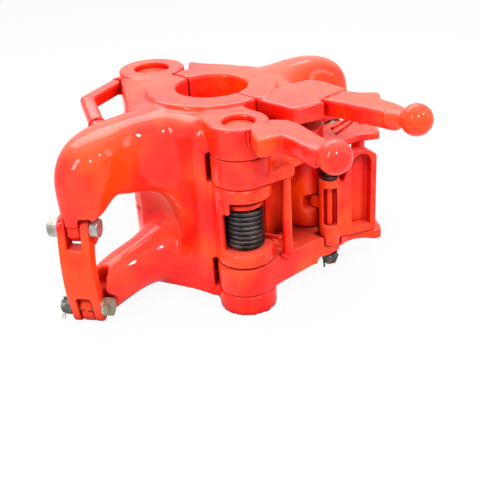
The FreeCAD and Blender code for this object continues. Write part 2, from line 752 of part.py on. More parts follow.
def hinge_pin():
    head = hinge_mouth_radius - head_clearance
    seat = top - hinge_mouth_depth
    pin = cylinder(hinge_pin_radius, 0, hinge_y, pin_foot_recess, seat)
    thread = cylinder(pin_thread_radius, 0, hinge_y, 2, pin_foot_recess)
    cap = cylinder(head, 0, hinge_y, seat, seat + hinge_head_height)
    cap = cap.makeChamfer(2.0, level_edges(cap, seat + hinge_head_height))
    return fuse([pin, thread, cap])


def latch_pin():
    head = latch_mouth_radius - head_clearance
    seat = z_top_lug_top - latch_mouth_depth
    pin = cylinder(latch_pin_radius, latch_x, latch_y, latch_foot_recess, seat)
    thread = cylinder(pin_thread_radius - 4, latch_x, latch_y, 2, latch_foot_recess)
    cap = cylinder(head, latch_x, latch_y, seat, seat + latch_head_height)
    cap = cap.makeChamfer(2.0, level_edges(cap, seat + latch_head_height))
    return fuse([pin, thread, cap])


def foot_nut(x, y, thread_radius, across_flats, recess):
    """Thin nut that holds a hinge pin, sunk in the recess under the lowest lug."""
    nut = hex_nut(thread_radius, across_flats, recess - 4)
    nut.translate(Vector(x, y, 4))
    return nut


def bush(x, y, radius, low, high):
    shell = cylinder(radius + pin_fit + bush_wall, x, y, low, high)
    return shell.cut(cylinder(radius + pin_fit, x, y, low, high))


def hinge_bushes():
    low, high = z_hinge_low + hinge_side_gap, z_hinge_high - hinge_side_gap
    return [bush(0, hinge_y, hinge_pin_radius, low, low + hinge_bush_length),
            bush(0, hinge_y, hinge_pin_radius, high - hinge_bush_length, high)]


def latch_bushes():
    return [bush(latch_x, latch_y, latch_pin_radius, z_lower_knuckle, z_lower_knuckle_top),
            bush(latch_x, latch_y, latch_pin_radius, z_upper_knuckle, z_upper_knuckle_top)]


def spring_seat():
    """Flanged collar that centres the top of the latch spring on its pin."""
    low = z_spring_bottom + latch_spring_height + spring_air
    disc = cylinder(spring_seat_radius, latch_x, latch_y, low, low + spring_seat_plate)
    hub = cylinder(spring_seat_hub, latch_x, latch_y, low, z_spring_top)
    return fuse([disc, hub]).cut(cylinder(latch_pin_radius + pin_fit, latch_x, latch_y, 0, top))


def latch_spring():
    """Torsion spring whose lower leg pushes on the latch rod."""
    body = coil(latch_spring_radius, latch_spring_wire, latch_spring_pitch, latch_spring_turns,
                0, 0, 0)
    reach_x, reach_y = rod_x - latch_x, rod_y - latch_y
    distance = math.hypot(reach_x, reach_y)
    tangent = math.degrees(math.acos(latch_spring_radius / distance))
    start = math.degrees(math.atan2(reach_y, reach_x)) + tangent
    leg_length = math.sqrt(distance ** 2 - latch_spring_radius ** 2) - rod_radius - spring_air
    leg = Part.makeCylinder(latch_spring_wire / 2, leg_length,
                            Vector(latch_spring_radius, 0, latch_spring_wire / 2), Vector(0, -1, 0))
    spring = body.fuse(leg)
    spring.rotate(Vector(0, 0, 0), Z, start)
    spring.translate(Vector(latch_x, latch_y, z_spring_bottom + spring_air / 2))
    return spring


def lock_spring():
    turns = int((tail_ceiling - lock_top - lock_spring_wire) / lock_spring_pitch)
    low = lock_top + spring_air
    return coil(lock_spring_radius, lock_spring_wire, lock_spring_pitch, turns, lock_x, lock_y, low)


def link_block():
    """Bowed retainer that closes the left ear, forked over both horn tongues."""
    low, high = lower_bolt_z, upper_bolt_z
    middle = (low + high) / 2
    outline = [(2, high + 24), (19, high + 13), (24, high - 9), (30, middle + 33.5),
               (31, middle - 6.5), (27, low + 32), (17, low - 6), (6, low - 29), (-11, low - 29),
               (-16, low - 8), (-13, low + 16), (-3, low + 50), (2, middle - 0.5),
               (-1, middle + 33.5), (-12, high - 23), (-19, high + 1), (-13, high + 19)]
    start = ear_vector(-block_width / 2, 0, 0)
    curve = Part.BSplineCurve()
    curve.interpolate([ear_vector(-block_width / 2, out, height) for out, height in outline],
                      PeriodicFlag=True)
    face = Part.Face(Part.Wire([curve.toShape()]))
    shape = face.extrude(ear_vector(block_width / 2, 0, 0) - start)
    slot = tongue_width / 2 + fork_gap
    side = block_width
    shape = shape.cut(ear_prism([(-side, high - 36), (side, high - 33), (side, high + 41),
                                 (-side, high + 41)], slot))
    shape = shape.cut(ear_prism([(-side, low - 44), (side, low - 44), (side, low + 30),
                                 (-side, low + 30)], slot))
    pad = ear_prism([(-34, high - 37), (-12, high - 41), (-6, high - 5), (-34, high - 5)], 7.5, 21)
    shape = shape.fuse(pad)
    for height in (high, low):
        shape = shape.cut(ear_cylinder(bolt_radius + bolt_clearance, -side, side, height))
    return shape.removeSplitter()


def ear_hardware():
    """Bolts, nuts, washer and split pin of the left link block."""
    inward = ear_vector(-1, 0, 0) - ear_vector(0, 0, 0)
    side = block_width / 2
    length = block_width + nut_height + bolt_tail
    pin_at = length - bolt_tail - nut_crown / 2 + 0.5 + washer_height
    upper = place(hex_bolt(bolt_radius, hex_across_flats, hex_head_height, length),
                  ear_vector(side, 0, upper_bolt_z), inward)
    upper_nut = place(hex_nut(bolt_radius, hex_across_flats, nut_height),
                      ear_vector(-side, 0, upper_bolt_z), inward)
    lower = place(hex_bolt(bolt_radius, hex_across_flats, hex_head_height, length + washer_height,
                           pin_at),
                  ear_vector(side + washer_height, 0, lower_bolt_z), inward)
    ring = Part.makeCylinder(washer_radius, washer_height)
    ring = ring.cut(Part.makeCylinder(bolt_radius + bolt_clearance, washer_height))
    washer = place(ring, ear_vector(side + washer_height, 0, lower_bolt_z), inward)
    lower_nut = place(castle_nut(bolt_radius, hex_across_flats, nut_height),
                      ear_vector(-side, 0, lower_bolt_z), inward)
    pin = place(cotter(hex_across_flats, pin_at),
                ear_vector(side + washer_height, 0, lower_bolt_z), inward)
    return {"upper_bolt": upper, "upper_nut": upper_nut, "lower_bolt": lower,
            "lower_washer": washer, "lower_nut": lower_nut, "lower_cotter": pin}


def lock_nut_parts():
    seat = tail_bottom - lock_lug_height
    down = Vector(0, 0, -1)
    ring = Part.makeCylinder(lock_nut_flats * 0.5, washer_height)
    ring = ring.cut(Part.makeCylinder(lock_pin_radius + pin_fit, washer_height))
    washer = place(ring, Vector(lock_x, lock_y, seat), down)
    nut = place(castle_nut(lock_pin_radius, lock_nut_flats, lock_nut_height),
                Vector(lock_x, lock_y, seat - washer_height), down)
    pin_at = lock_nut_height - nut_crown / 2 + 0.5
    pin = place(cotter(lock_nut_flats, pin_at), Vector(lock_x, lock_y, seat - washer_height), down)
    return washer, nut, pin


def stop_screw():
    screw = hex_bolt(stop_screw_radius, stop_screw_flats, 6, tail_plate + 7)
    return place(screw, Vector(stop_screw_x, stop_screw_y, tail_top), Vector(0, 0, -1))


def stop_nut():
    nut = hex_nut(stop_screw_radius, stop_screw_flats, 6)
    return place(nut, Vector(stop_screw_x, stop_screw_y, tail_ceiling), Vector(0, 0, -1))


def export(name, shapes):
    solids = shapes if isinstance(shapes, list) else [shapes]
    shape = solids[0] if len(solids) == 1 else Part.makeCompound(solids)
    shape.exportStep("parts/" + name + ".step")
    print(name, len(shape.Solids), round(shape.Volume), shape.isValid())


os.makedirs("parts", exist_ok=True)
washer, nut, pin = lock_nut_parts()
casting = left_body()
nodes = {
    "left_body": casting,
    "right_body": right_body(),
    "left_handle": left_handle(),
    "right_handle": right_handle(),
    "rear_handle": rear_handle(casting),
    "hinge_pin": hinge_pin(),
    "hinge_bushes": hinge_bushes(),
    "hinge_pin_nut": foot_nut(0, hinge_y, pin_thread_radius, 46.0, pin_foot_recess),
    "latch": latch(),
    "latch_rod": latch_rod(),
    "latch_pin": latch_pin(),
    "latch_bushes": latch_bushes(),
    "latch_pin_nut": foot_nut(latch_x, latch_y, pin_thread_radius - 4, 36.0, latch_foot_recess),
    "latch_spring": latch_spring(),
    "spring_seat": spring_seat(),
    "latch_lock": latch_lock(),
    "lock_bolt": lock_bolt(),
    "lock_spring": lock_spring(),
    "lock_washer": washer,
    "lock_nut": nut,
    "lock_cotter": pin,
    "stop_screw": stop_screw(),
    "stop_nut": stop_nut(),
    "left_link_block": link_block(),
    "right_link_block": mirrored(link_block()),
}
for name, piece in ear_hardware().items():
    nodes["left_" + name] = piece
    nodes["right_" + name] = mirrored(piece)
for name, shapes in nodes.items():
    export(name, shapes)
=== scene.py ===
import json
import math

import bmesh
import bpy
import numpy as np
from mathutils import Matrix, Vector

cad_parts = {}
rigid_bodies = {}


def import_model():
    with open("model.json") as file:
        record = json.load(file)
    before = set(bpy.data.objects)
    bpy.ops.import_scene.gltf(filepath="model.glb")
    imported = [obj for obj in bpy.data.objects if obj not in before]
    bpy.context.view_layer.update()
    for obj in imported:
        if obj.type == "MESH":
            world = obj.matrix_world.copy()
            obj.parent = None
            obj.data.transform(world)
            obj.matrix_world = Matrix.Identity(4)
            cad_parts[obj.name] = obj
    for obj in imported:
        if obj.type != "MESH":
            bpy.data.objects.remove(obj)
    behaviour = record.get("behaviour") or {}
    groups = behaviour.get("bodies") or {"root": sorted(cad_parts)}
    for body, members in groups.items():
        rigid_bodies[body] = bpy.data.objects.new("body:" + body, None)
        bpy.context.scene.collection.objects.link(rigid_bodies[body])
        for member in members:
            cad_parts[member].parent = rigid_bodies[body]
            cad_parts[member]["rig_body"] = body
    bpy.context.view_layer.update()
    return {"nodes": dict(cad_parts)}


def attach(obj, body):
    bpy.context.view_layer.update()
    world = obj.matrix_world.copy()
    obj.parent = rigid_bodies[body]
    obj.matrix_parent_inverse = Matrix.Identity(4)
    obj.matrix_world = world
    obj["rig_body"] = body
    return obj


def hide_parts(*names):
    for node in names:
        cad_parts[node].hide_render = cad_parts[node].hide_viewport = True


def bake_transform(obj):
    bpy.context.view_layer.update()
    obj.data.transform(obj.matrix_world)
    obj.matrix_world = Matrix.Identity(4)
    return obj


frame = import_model()
scene = bpy.context.scene


# The camera stands at the photograph's viewing angle: to the front left of the tool and
# above it, turned a little about its own axis, with a moderately long lens.
azimuth = math.radians(-41.37)
elevation = math.radians(28.30)
roll = math.radians(3.62)
standpoint = (-0.9998, -1.1896, 0.8695)

camera = bpy.data.objects.new("camera", bpy.data.cameras.new("camera"))
scene.collection.objects.link(camera)
camera.data.lens = 63.0
camera.data.sensor_width = 36.0
backward = Vector((math.sin(azimuth) * math.cos(elevation),
                   -math.cos(azimuth) * math.cos(elevation), math.sin(elevation)))
rightward = (-backward).cross(Vector((0, 0, 1))).normalized()
upward = rightward.cross(-backward)
turned_right = rightward * math.cos(roll) - upward * math.sin(roll)
turned_up = rightward * math.sin(roll) + upward * math.cos(roll)
facing = Matrix((turned_right, turned_up, backward)).transposed().to_4x4()
camera.matrix_world = Matrix.Translation(standpoint) @ facing
scene.camera = camera
scene.view_settings.view_transform = "Standard"


# The studio: a pale floor that melts into a white background and keeps a faint shadow,
# an even white surround, broad soft panels, and two small lamps that glint on the balls.
def node_tree(owner):
    owner.use_nodes = True
    owner.node_tree.nodes.clear()
    return owner.node_tree


def wire(tree, source, output, target, socket):
    tree.links.new(source.outputs[output], target.inputs[socket])


def seen_directly(tree):
    """1 for what the camera, a reflection or a refraction sees, 0 for light falling on things."""
    path = tree.nodes.new("ShaderNodeLightPath")
    mirror = tree.nodes.new("ShaderNodeMath")
    mirror.operation = "MAXIMUM"
    wire(tree, path, "Is Camera Ray", mirror, 0)
    wire(tree, path, "Is Glossy Ray", mirror, 1)
    either = tree.nodes.new("ShaderNodeMath")
    either.operation = "MAXIMUM"
    wire(tree, mirror, 0, either, 0)
    wire(tree, path, "Is Transmission Ray", either, 1)
    return either


floor_tone = 0.70
floor_glow = 0.93
floor_reach = 9
surround_level = 0.54
pure_white = (1, 1, 1, 1)
mesh = bpy.data.meshes.new("floor")
mesh.from_pydata([(-floor_reach, -floor_reach, 0), (floor_reach, -floor_reach, 0),
                  (floor_reach, floor_reach, 0), (-floor_reach, floor_reach, 0)],
                 [], [(0, 1, 2, 3)])
floor = bpy.data.objects.new("floor", mesh)
scene.collection.objects.link(floor)
finish = bpy.data.materials.new("pale_floor")
tree = node_tree(finish)
matt = tree.nodes.new("ShaderNodeBsdfDiffuse")
matt.inputs["Color"].default_value = (floor_tone, floor_tone, floor_tone, 1)
glow = tree.nodes.new("ShaderNodeEmission")
glow.inputs["Color"].default_value = pure_white
glow.inputs["Strength"].default_value = 1.0
share = tree.nodes.new("ShaderNodeMath")
share.operation = "MULTIPLY"
share.inputs[1].default_value = floor_glow
wire(tree, seen_directly(tree), 0, share, 0)
mixed = tree.nodes.new("ShaderNodeMixShader")
wire(tree, share, 0, mixed, "Fac")
wire(tree, matt, 0, mixed, 1)
wire(tree, glow, 0, mixed, 2)
wire(tree, mixed, 0, tree.nodes.new("ShaderNodeOutputMaterial"), "Surface")
mesh.materials.append(finish)

world = bpy.data.worlds.new("surround")
scene.world = world
tree = node_tree(world)
surround = tree.nodes.new("ShaderNodeBackground")
surround.inputs["Color"].default_value = pure_white
surround.inputs["Strength"].default_value = surround_level
white = tree.nodes.new("ShaderNodeBackground")
white.inputs["Color"].default_value = pure_white
white.inputs["Strength"].default_value = 1.0
mixed = tree.nodes.new("ShaderNodeMixShader")
wire(tree, seen_directly(tree), 0, mixed, "Fac")
wire(tree, surround, 0, mixed, 1)
wire(tree, white, 0, mixed, 2)
wire(tree, mixed, 0, tree.nodes.new("ShaderNodeOutputWorld"), "Surface")


lamp_aim = Vector((0, -0.05, 0.2))


def panel(name, side, up, away, width, height, watts):
    """Soft lamp placed by its direction from the tool: to the right, up, and to the camera."""
    lamp = bpy.data.lights.new(name, "AREA")
    lamp.shape = "RECTANGLE"
    lamp.size, lamp.size_y = width, height
    lamp.energy = watts
    holder = bpy.data.objects.new(name, lamp)
    scene.collection.objects.link(holder)
    offset = rightward * side + Vector((0, 0, 1)) * up + backward * away
    holder.location = lamp_aim + offset
    holder.rotation_euler = (-offset).to_track_quat("-Z", "Y").to_euler()


panel("sky_panel", -0.4, 2.6, -1.6, 2.6, 1.2, 40)
panel("front_panel", -1.9, 0.9, 1.9, 0.5, 1.5, 36)
panel("right_panel", 2.6, 1.2, 0.4, 0.5, 1.6, 10)
panel("left_lamp", 0.30, 1.05, 2.3, 0.17, 0.17, 44)
panel("right_lamp", 1.70, 1.25, 1.2, 0.15, 0.15, 26)


# The castings are alloy steel, poured in sand, fettled, machined only where they fit, and
# sprayed with a thick glossy orange-red enamel that runs soft over every edge.
red_enamel = (0.90, 0.008, 0.002)
# Painted shade: a deep red laid into hollows and gaps.
painted_shade_red = (0.42, 0.001, 0.001)
orange_enamel = (0.95, 0.050, 0.002)
scuff_pink = (0.90, 0.21, 0.16)
# Painted sheen and reflection: a pale red laid on upward faces and in sharp-edged patches.
painted_sheen_red = (0.96, 0.17, 0.115)


def pattern(tree, scale, detail=3.0):
    """Noise fixed to the piece."""
    place = tree.nodes.new("ShaderNodeTexCoord")
    field = tree.nodes.new("ShaderNodeTexNoise")
    field.inputs["Scale"].default_value = scale
    field.inputs["Detail"].default_value = detail
    wire(tree, place, "Object", field, "Vector")
    return field


def ramp(tree, source, output, low, high, colour_low, colour_high):
    """Colour that runs from one to another as a value rises."""
    band = tree.nodes.new("ShaderNodeValToRGB")
    band.color_ramp.elements[0].position = low
    band.color_ramp.elements[1].position = high
    band.color_ramp.elements[0].color = (*colour_low, 1)
    band.color_ramp.elements[1].color = (*colour_high, 1)
    wire(tree, source, output, band, "Fac")
    return band


def carried(tree, source, output, target, low=0.0, high=1.0):
    """Value carried from low..high to the target range."""
    band = tree.nodes.new("ShaderNodeMapRange")
    band.inputs["From Min"].default_value = low
    band.inputs["From Max"].default_value = high
    band.inputs["To Min"].default_value = target[0]
    band.inputs["To Max"].default_value = target[1]
    wire(tree, source, output, band, "Value")
    return band


def bumps(tree, field, strength, depth):
    """Small relief that follows a pattern."""
    relief = tree.nodes.new("ShaderNodeBump")
    relief.inputs["Strength"].default_value = strength
    relief.inputs["Distance"].default_value = depth
    wire(tree, field, "Fac", relief, "Height")
    return relief


def overlaid(tree, below, colour, factor, output):
    """One flat colour laid over another colour by a factor."""
    flat = tree.nodes.new("ShaderNodeRGB")
    flat.outputs[0].default_value = (*colour, 1)
    joined = tree.nodes.new("ShaderNodeMix")
    joined.data_type = "RGBA"
    wire(tree, factor, output, joined, "Factor")
    tree.links.new(below, joined.inputs["A"])
    tree.links.new(flat.outputs[0], joined.inputs["B"])
    return joined.outputs["Result"]


nothing = (0, 0, 0)
everything = (1, 1, 1)


def enamel(name, swell=0.6, scuffs=0.35, painted_sheen_strength=0.36, painted_reflection_strength=0.07):
    """Glossy sprayed enamel: uneven coats, orange peel, pale scuffs, painted top sheen, painted
    reflection patches, painted shade in hollows.
    """
    paint = bpy.data.materials.new(name)
    tree = node_tree(paint)
    drift = ramp(tree, pattern(tree, 7.0), "Fac", 0.44, 0.58, red_enamel, orange_enamel)
    # Painted reflection: sharp-edged patches of the pale red, standing in for bright reflections
    # in the gloss.
    painted_reflection_patches = ramp(tree, pattern(tree, 9.5, 2.0), "Fac", 0.50, 0.55, nothing, (painted_reflection_strength,) * 3)
    base = overlaid(tree, drift.outputs["Color"], painted_sheen_red, painted_reflection_patches, "Color")
    shade = tree.nodes.new("ShaderNodeAmbientOcclusion")
    shade.inputs["Distance"].default_value = 0.05
    shade.samples = 8
    # Painted shade: where surfaces crowd close, the colour is darkened to a deep red.
    painted_hollow_shade = ramp(tree, shade, "AO", 0.25, 0.92, everything, nothing)
    base = overlaid(tree, base, painted_shade_red, painted_hollow_shade, "Color")
    shape = tree.nodes.new("ShaderNodeNewGeometry")
    facing_up = tree.nodes.new("ShaderNodeSeparateXYZ")
    wire(tree, shape, "Normal", facing_up, "Vector")
    # Painted sheen: faces turned upward are made paler, standing in for the light they catch from
    # above.
    painted_top_sheen = carried(tree, facing_up, "Z", (0.0, painted_sheen_strength), 0.62, 1.0)
    base = overlaid(tree, base, painted_sheen_red, painted_top_sheen, "Result")
    edges = ramp(tree, shape, "Pointiness", 0.525, 0.58, nothing, everything)
    patches = ramp(tree, pattern(tree, 34.0, 6.0), "Fac", 0.56, 0.70, nothing, (scuffs,) * 3)
    worn = tree.nodes.new("ShaderNodeMath")
    worn.operation = "MULTIPLY"
    wire(tree, edges, "Color", worn, 0)
    wire(tree, patches, "Color", worn, 1)
    base = overlaid(tree, base, scuff_pink, worn, "Value")

    shader = tree.nodes.new("ShaderNodeBsdfPrincipled")
    tree.links.new(base, shader.inputs["Base Color"])
    dusty = carried(tree, shade, "AO", (0.0, 0.55), 0.35, 0.95)
    wire(tree, dusty, "Result", shader, "Coat Weight")
    shader.inputs["Coat Roughness"].default_value = 0.03
    shader.inputs["Specular IOR Level"].default_value = 0.08
    gloss = carried(tree, pattern(tree, 18.0, 5.0), "Fac", (0.35, 0.55))
    wire(tree, gloss, "Result", shader, "Roughness")
    waves = bumps(tree, pattern(tree, 16.0), swell, 0.0016)
    peel = bumps(tree, pattern(tree, 260.0, 2.0), 0.35, 0.0004)
    wire(tree, waves, "Normal", peel, "Normal")
    wire(tree, peel, "Normal", shader, "Normal")
    wire(tree, peel, "Normal", shader, "Coat Normal")
    wire(tree, shader, 0, tree.nodes.new("ShaderNodeOutputMaterial"), "Surface")
    return paint


def closed_copy(node, name):
    """Copy of a CAD node's surface with its loose triangles joined."""
    piece = bpy.data.objects.new(name, frame["nodes"][node].data.copy())
    scene.collection.objects.link(piece)
    work = bmesh.new()
    work.from_mesh(piece.data)
    bmesh.ops.remove_doubles(work, verts=work.verts, dist=1e-6)
    work.to_mesh(piece.data)
    work.free()
    return piece


def baked(piece):
    """Plain mesh of a piece with its modifiers worked in."""
    view = bpy.context.evaluated_depsgraph_get()
    mesh = bpy.data.meshes.new_from_object(piece.evaluated_get(view))
    piece.modifiers.clear()
    piece.data = mesh
    return mesh


def casting(node, cell, passes, softness, material):
    """Cast surface over a CAD node: an even skin, softened where the metal wasn't machined."""
    piece = closed_copy(node, node + "_cast")
    skin = piece.modifiers.new("skin", "REMESH")
    skin.mode = "VOXEL"
    skin.voxel_size = cell
    skin.use_smooth_shade = True
    mesh = baked(piece)
    count = len(mesh.vertices)
    spots = np.empty(count * 3)
    mesh.vertices.foreach_get("co", spots)
    spots = spots.reshape(-1, 3)
    ends = np.empty(len(mesh.edges) * 2, np.int32)
    mesh.edges.foreach_get("vertices", ends)
    ends = ends.reshape(-1, 2)
    neighbours = np.bincount(ends.ravel(), minlength=count)
    give = 0.5 * softness(spots)[:, None]
    for _ in range(passes):
        mean = np.empty_like(spots)
        for axis in range(3):
            mean[:, axis] = (np.bincount(ends[:, 0], spots[ends[:, 1], axis], count)
                             + np.bincount(ends[:, 1], spots[ends[:, 0], axis], count))
        spots += (mean / neighbours[:, None] - spots) * give
    mesh.vertices.foreach_set("co", spots.ravel())
    mesh.update()
    mesh.materials.clear()
    mesh.materials.append(material)
    mesh.polygons.foreach_set("use_smooth", [True] * len(mesh.polygons))
    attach(piece, frame["nodes"][node]["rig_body"])
    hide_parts(node)


def rise(value, low, high):
    """0 below a low value, 1 above a high one, smooth between."""
    share = np.clip((value - low) / (high - low), 0, 1)
    return share * share * (3 - 2 * share)


def clear_of(axis, x, y, near, far):
    """0 close to an upright axis, 1 well away from it."""
    return rise(np.hypot(x - axis[0], y - axis[1]), near, far)


bore_axis = (0.0, 0.0)
hinge_axis = (0.0, 0.1867)
latch_axis = (-0.088, -0.1695)
ear_offset = 0.337
keeper_axis = (0.092, -0.158)
firm = 0.06
bore_edge = (0.071, 0.085)
ring_edge = (0.128, 0.165)
ring_foot = 0.345
hinge_edge = (0.071, 0.095)
latch_edge = (0.062, 0.085)
ear_edge = (0.045, 0.075)
ear_top = (0.225, 0.25)
split_edge = (0.002, 0.02)
foot_edge = (0.004, 0.03)
keeper_edge = (0.05, 0.07)
flange_back = (-0.150, -0.130)
flange_foot = 0.330
rear_web_front = 0.085
rear_web_top = 0.285
half_cell = 0.0036
half_passes = 26


def half_softness(side):
    """Softness of a half casting: firm at the bore, ring, pins, ears, split face and foot."""
    def softness(spots):
        x, y, z = spots.T
        soft = np.ones(len(spots))
        rules = [clear_of(bore_axis, x, y, *ring_edge) + rise(ring_foot - z, 0.0, 0.03),
                 clear_of(bore_axis, x, y, *bore_edge),
                 clear_of(hinge_axis, x, y, *hinge_edge),
                 clear_of(latch_axis, x, y, *latch_edge),
                 clear_of((side * ear_offset, 0.0), x, y, *ear_edge) + rise(z, *ear_top),
                 rise(np.abs(x), *split_edge), rise(z, *foot_edge)]
        if side > 0:
            rules.append(clear_of(keeper_axis, x, y, *keeper_edge))
            rules.append(rise(y, *flange_back) + rise(flange_foot - z, 0.0, 0.02))
            rules.append(rise(rear_web_front - y, 0.0, 0.02) + rise(rear_web_top - z, 0.0, 0.02))
        for rule in rules:
            soft *= firm + (1 - firm) * np.clip(rule, 0, 1)
        return soft
    return softness


body_enamel = enamel("body_enamel")
casting("left_body", half_cell, half_passes, half_softness(-1), body_enamel)
casting("right_body", half_cell, half_passes, half_softness(1), body_enamel)


# The latch, the locking lever, the handles and the link blocks are smaller castings and
# forgings with the same enamel, so their edges stay tighter than those of the halves.
def even(value):
    """The same softness all over."""
    return lambda spots: np.full(len(spots), value)


small_enamel = enamel("small_enamel", swell=0.35, scuffs=0.6)
for node, cell, passes, soft in (
        ("latch", 0.0026, 6, 0.7), ("latch_lock", 0.0016, 5, 0.7),
        ("left_handle", 0.002, 8, 0.9), ("right_handle", 0.002, 8, 0.9),
        ("rear_handle", 0.002, 10, 1.0),
        ("left_link_block", 0.0018, 6, 0.9), ("right_link_block", 0.0018, 6, 0.9)):
    casting(node, cell, passes, even(soft), small_enamel)


def dress(nodes, material):
    """Gives carried-over nodes one finish."""
    for node in nodes:
        shape = frame["nodes"][node].data
        shape.materials.clear()
        shape.materials.append(material)


dress(("latch_rod", "spring_seat", "lock_bolt", "hinge_pin", "latch_pin"), small_enamel)


# The springs are close-wound oiled black wire. The latch spring is fixed at its top, and its
# lower leg pushes on the latch rod, so the coil winds up as the latch swings out.
def metal(name, patchiness, dark, light, span, roughness, metallic, relief):
    """Handled metal: cloudy tone and polish, and fine relief from its own pattern or marks."""
    surface = bpy.data.materials.new(name)
    tree = node_tree(surface)
    cloud = pattern(tree, *patchiness)
    tone = ramp(tree, cloud, "Fac", *span, dark, light)
    polish = carried(tree, cloud, "Fac", roughness)
    scale, strength, depth = relief
    marks = bumps(tree, pattern(tree, scale, 2.0) if scale else cloud, strength, depth)
    shader = tree.nodes.new("ShaderNodeBsdfPrincipled")
    shader.inputs["Metallic"].default_value = metallic
    wire(tree, tone, "Color", shader, "Base Color")
    wire(tree, polish, "Result", shader, "Roughness")
    wire(tree, marks, "Normal", shader, "Normal")
    wire(tree, shader, 0, tree.nodes.new("ShaderNodeOutputMaterial"), "Surface")
    return surface


def group(name, inputs):
    """Empty node tree with one geometry output and named inputs."""
    tree = bpy.data.node_groups.new(name, "GeometryNodeTree")
    tree.interface.new_socket("Geometry", in_out="INPUT", socket_type="NodeSocketGeometry")
    for label, kind, value in inputs:
        socket = tree.interface.new_socket(label, in_out="INPUT", socket_type=kind)
        if value is not None:
            socket.default_value = value
    tree.interface.new_socket("Geometry", in_out="OUTPUT", socket_type="NodeSocketGeometry")
    return tree, tree.nodes.new("NodeGroupInput"), tree.nodes.new("NodeGroupOutput")


def grown(name, tree, values, start=None):
    """Plain mesh object made by a node tree from its named inputs."""
    piece = bpy.data.objects.new(name, start or bpy.data.meshes.new(name))
    scene.collection.objects.link(piece)
    work = piece.modifiers.new("work", "NODES")
    work.node_group = tree
    for socket in tree.interface.items_tree:
        if socket.in_out == "INPUT" and socket.name in values:
            work[socket.identifier] = values[socket.name]
    view = bpy.context.evaluated_depsgraph_get()
    mesh = bpy.data.meshes.new_from_object(piece.evaluated_get(view))
    bpy.data.objects.remove(piece)
    piece = bpy.data.objects.new(name, mesh)
    scene.collection.objects.link(piece)
    return piece


def coil_tree():
    """Round wire wound on a helix."""
    tree, given, made = group("wound_coil", [
        ("Turns", "NodeSocketFloat", 8.0), ("Coil Radius", "NodeSocketFloat", 0.03),
        ("Height", "NodeSocketFloat", 0.08), ("Wire Radius", "NodeSocketFloat", 0.004),
        ("Finish", "NodeSocketMaterial", None)])
    helix = tree.nodes.new("GeometryNodeCurveSpiral")
    helix.inputs["Resolution"].default_value = 48
    wire(tree, given, "Turns", helix, "Rotations")
    wire(tree, given, "Coil Radius", helix, "Start Radius")
    wire(tree, given, "Coil Radius", helix, "End Radius")
    wire(tree, given, "Height", helix, "Height")
    section = tree.nodes.new("GeometryNodeCurvePrimitiveCircle")
    section.inputs["Resolution"].default_value = 16
    wire(tree, given, "Wire Radius", section, "Radius")
    sweep = tree.nodes.new("GeometryNodeCurveToMesh")
    sweep.inputs["Fill Caps"].default_value = True
    wire(tree, helix, "Curve", sweep, "Curve")
    wire(tree, section, "Curve", sweep, "Profile Curve")
    smooth = tree.nodes.new("GeometryNodeSetShadeSmooth")
    wire(tree, sweep, "Mesh", smooth, "Geometry")
    finish = tree.nodes.new("GeometryNodeSetMaterial")
    wire(tree, smooth, "Geometry", finish, "Geometry")
    wire(tree, given, "Finish", finish, "Material")
    wire(tree, finish, "Geometry", made, "Geometry")
    return tree


spring_black = metal("black_wire", (55.0, 5.0), (0.010, 0.010, 0.012), (0.085, 0.070, 0.064),
                     (0.35, 0.72), (0.22, 0.52), 0.75, (None, 0.35, 0.0003))
wound = coil_tree()
spring_wire = 0.009
spring_radius = 0.032
spring_pitch = 0.0094
spring_turns = 8
spring_foot = 0.1256
rod = (-0.029, -0.221)
rod_standoff = 0.0094
reach = Vector((rod[0] - latch_axis[0], rod[1] - latch_axis[1]))
leg_angle = math.atan2(reach.y, reach.x) + math.acos(spring_radius / reach.length)
leg_length = math.sqrt(reach.length ** 2 - spring_radius ** 2) - rod_standoff
coil = grown("latch_spring_coil", wound, {
    "Turns": float(spring_turns), "Coil Radius": spring_radius,
    "Height": spring_pitch * spring_turns, "Wire Radius": spring_wire / 2 - 0.0001,
    "Finish": spring_black})
coil.data.transform(Matrix.Translation((*latch_axis, spring_foot + spring_wire / 2))
                    @ Matrix.Rotation(leg_angle, 4, "Z"))
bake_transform(coil)
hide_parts("latch_spring")

lock_axis = (0.088, -0.220)
lock_coil_foot = 0.2139
lock_coil = grown("lock_spring_coil", wound, {
    "Turns": 7.0, "Coil Radius": 0.0145, "Height": 0.049, "Wire Radius": 0.0024,
    "Finish": spring_black})
lock_coil.data.transform(Matrix.Translation((*lock_axis, lock_coil_foot)))
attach(lock_coil, "latch_arm")
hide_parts("lock_spring")


# The lower leg of the latch spring is straight wire, finished in the red enamel. It
# leaves the coil along its edge and ends against the latch rod.
def swept(name, points, radius, material):
    """Solid round bar along a smooth run of points."""
    path = bpy.data.curves.new(name, "CURVE")
    path.dimensions = "3D"
    path.bevel_depth = radius
    path.bevel_resolution = 6
    path.use_fill_caps = True
    line = path.splines.new("NURBS")
    line.points.add(len(points) - 1)
    for spot, point in zip(line.points, points):
        spot.co = (*point, 1)
    line.order_u = 3
    line.use_endpoint_u = True
    line.resolution_u = 10
    shape = bpy.data.objects.new(name, path)
    scene.collection.objects.link(shape)
    view = bpy.context.evaluated_depsgraph_get()
    mesh = bpy.data.meshes.new_from_object(shape.evaluated_get(view))
    bpy.data.objects.remove(shape)
    piece = bpy.data.objects.new(name, mesh)
    scene.collection.objects.link(piece)
    mesh.materials.clear()
    mesh.materials.append(material)
    mesh.polygons.foreach_set("use_smooth", [True] * len(mesh.polygons))
    return piece


